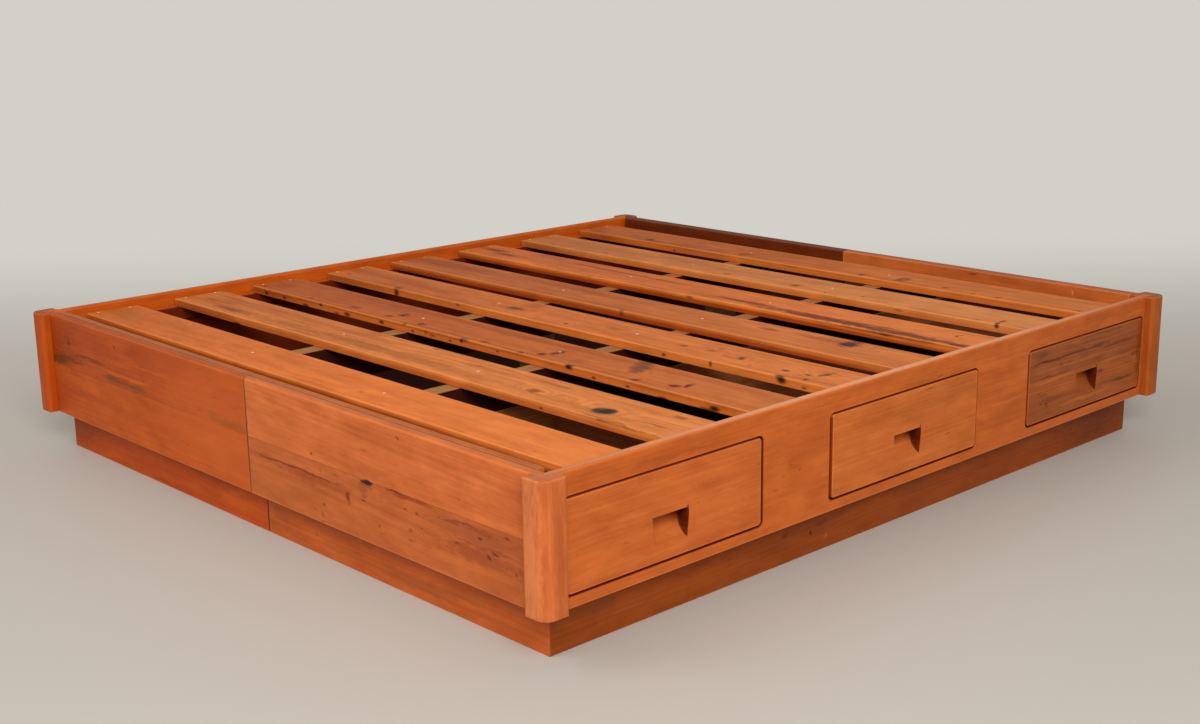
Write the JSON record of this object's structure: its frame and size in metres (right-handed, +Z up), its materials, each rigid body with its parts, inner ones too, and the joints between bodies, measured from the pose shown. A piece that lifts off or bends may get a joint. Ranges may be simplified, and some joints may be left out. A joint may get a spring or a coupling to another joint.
{
  "type": "tatami platform bed",
  "caption": "Low redwood platform bed with a slatted mattress well, rounded corner posts, a recessed plinth and inset drawers with scooped pulls along one side.",
  "frame": {"origin": "on the floor, at the middle of the bed's outer box", "axes": "+Z up, +X across the bed towards the drawer side, +Y along the bed from the foot end to the head end"},
  "size_m": [2.065, 2.209, 0.372],
  "materials": {
    "oiled_redwood": "satin oil over planed solid redwood",
    "oiled_redwood_slats": "satin oil over planed solid redwood, lighter boards",
    "inner_softwood": "bare planed softwood",
    "deck_panel": "plain dark panel",
    "screw_steel": "pale plated screws"
  },
  "bodies": {
    "bed": {"side_rail_right": "oiled_redwood", "side_rail_left": "oiled_redwood", "foot_panel_left": "oiled_redwood", "foot_panel_right": "oiled_redwood", "head_panel_left": "oiled_redwood", "head_panel_right": "oiled_redwood", "post_foot_right": "oiled_redwood", "post_foot_left": "oiled_redwood", "post_head_right": "oiled_redwood", "post_head_left": "oiled_redwood", "plinth_side_right": "oiled_redwood", "plinth_side_left": "oiled_redwood", "plinth_foot_left": "oiled_redwood", "plinth_foot_right": "oiled_redwood", "plinth_head_left": "oiled_redwood", "plinth_head_right": "oiled_redwood", "foot_strip": "oiled_redwood", "head_strip_left": "oiled_redwood", "head_strip_right": "oiled_redwood", "panel_splices": "inner_softwood", "plinth_splices": "inner_softwood", "deck_foot": "deck_panel", "deck_head": "deck_panel", "ledger_right": "oiled_redwood", "ledger_left": "oiled_redwood", "support_rail_right": "inner_softwood", "support_rail_left": "inner_softwood", "support_legs": "inner_softwood", "slat_1": "oiled_redwood_slats", "slat_2": "oiled_redwood_slats", "slat_3": "oiled_redwood_slats", "slat_4": "oiled_redwood_slats", "slat_5": "oiled_redwood_slats", "slat_6": "oiled_redwood_slats", "slat_7": "oiled_redwood_slats", "slat_8": "oiled_redwood_slats", "slat_screws": "screw_steel", "guide_1_foot": "inner_softwood", "guide_1_head": "inner_softwood", "guide_2_foot": "inner_softwood", "guide_2_head": "inner_softwood", "guide_3_foot": "inner_softwood", "guide_3_head": "inner_softwood", "drawer_runners": "inner_softwood", "drawer_kickers": "inner_softwood"},
    "drawer_1": {"drawer_1_front": "oiled_redwood", "drawer_1_side_foot": "inner_softwood", "drawer_1_side_head": "inner_softwood", "drawer_1_back": "inner_softwood", "drawer_1_bottom": "inner_softwood"},
    "drawer_2": {"drawer_2_front": "oiled_redwood", "drawer_2_side_foot": "inner_softwood", "drawer_2_side_head": "inner_softwood", "drawer_2_back": "inner_softwood", "drawer_2_bottom": "inner_softwood"},
    "drawer_3": {"drawer_3_front": "oiled_redwood", "drawer_3_side_foot": "inner_softwood", "drawer_3_side_head": "inner_softwood", "drawer_3_back": "inner_softwood", "drawer_3_bottom": "inner_softwood"}
  },
  "joints": [
    {"name": "drawer_1_slide", "type": "slide", "parent": "bed", "child": "drawer_1", "axis": [1, 0, 0], "range_m": [0, 0.42]},
    {"name": "drawer_2_slide", "type": "slide", "parent": "bed", "child": "drawer_2", "axis": [1, 0, 0], "range_m": [0, 0.42]},
    {"name": "drawer_3_slide", "type": "slide", "parent": "bed", "child": "drawer_3", "axis": [1, 0, 0], "range_m": [0, 0.42]}
  ]
}
